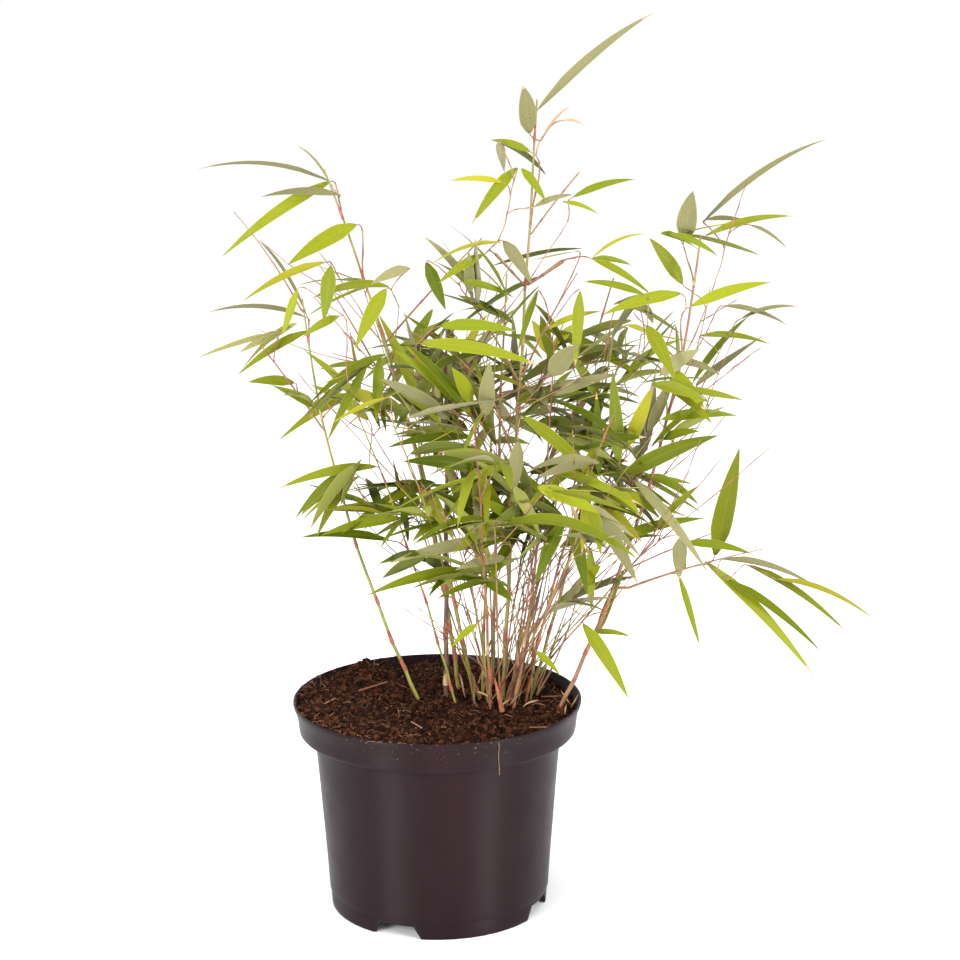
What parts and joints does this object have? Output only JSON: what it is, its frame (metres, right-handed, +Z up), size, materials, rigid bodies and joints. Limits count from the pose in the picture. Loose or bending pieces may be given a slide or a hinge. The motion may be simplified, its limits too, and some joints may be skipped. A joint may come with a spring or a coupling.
{
  "type": "potted bamboo",
  "caption": "Clumping bamboo in a round plastic nursery pot: slender leaning stems, fine branches and sprays of narrow leaves.",
  "frame": {"origin": "centre of the pot's flat underside, on the ground", "axes": "+Z up; -Y is the front, the side that the reference view shows; +X to the right seen from the front"},
  "size_m": [0.5224, 0.3813, 0.6913],
  "materials": {
    "pot": "satin",
    "soil": "matte",
    "stems": "satin",
    "shoots": "satin",
    "boughs": "satin",
    "leaves": "satin"
  },
  "bodies": {
    "root": {"pot": "pot", "soil": "soil", "stem_left_low": "stems", "stem_left_tall": "stems", "stem_left_thick": "stems", "stem_left_thin": "stems", "stem_centre_tall": "stems", "stem_centre_red": "stems", "stem_right_tall": "stems", "stem_right_inner": "stems", "stem_front_centre": "stems", "stem_front_left": "stems", "stem_front_right": "stems", "stem_back_centre": "stems", "stem_back_left": "stems", "stem_back_right": "stems", "stem_back_olive": "stems", "shoot_orange": "shoots", "shoot_purple": "shoots", "foliage_top_blade": "leaves", "foliage_top": "leaves", "foliage_top_tuft": "leaves", "foliage_high": "leaves", "foliage_left_crest": "leaves", "foliage_left_high": "leaves", "foliage_left_outer": "leaves", "foliage_left_mid": "leaves", "foliage_left_low": "leaves", "foliage_left_base": "leaves", "foliage_centre_left": "leaves", "foliage_centre": "leaves", "foliage_centre_upper": "leaves", "foliage_centre_right": "leaves", "foliage_right_high": "leaves", "foliage_right_crest": "leaves", "foliage_right_blade": "leaves", "foliage_right_outer": "leaves", "foliage_right_mid": "leaves", "foliage_right_low": "leaves", "foliage_right_base": "leaves", "foliage_far_right": "leaves", "foliage_far_upright": "leaves", "foliage_front_left": "leaves", "foliage_front_right": "leaves", "foliage_back_left": "leaves", "foliage_back": "leaves", "foliage_back_right": "leaves", "bough_left_spray": "boughs", "bough_left_tip": "boughs", "bough_left_outer": "boughs", "bough_left_upper": "boughs", "bough_centre_left": "boughs", "bough_centre_right": "boughs", "bough_high_left": "boughs", "bough_high_right": "boughs", "bough_high_back": "boughs", "bough_cross": "boughs", "bough_low_right": "boughs", "bough_low_inner": "boughs", "bough_back_fork": "boughs"}
  },
  "joints": []
}
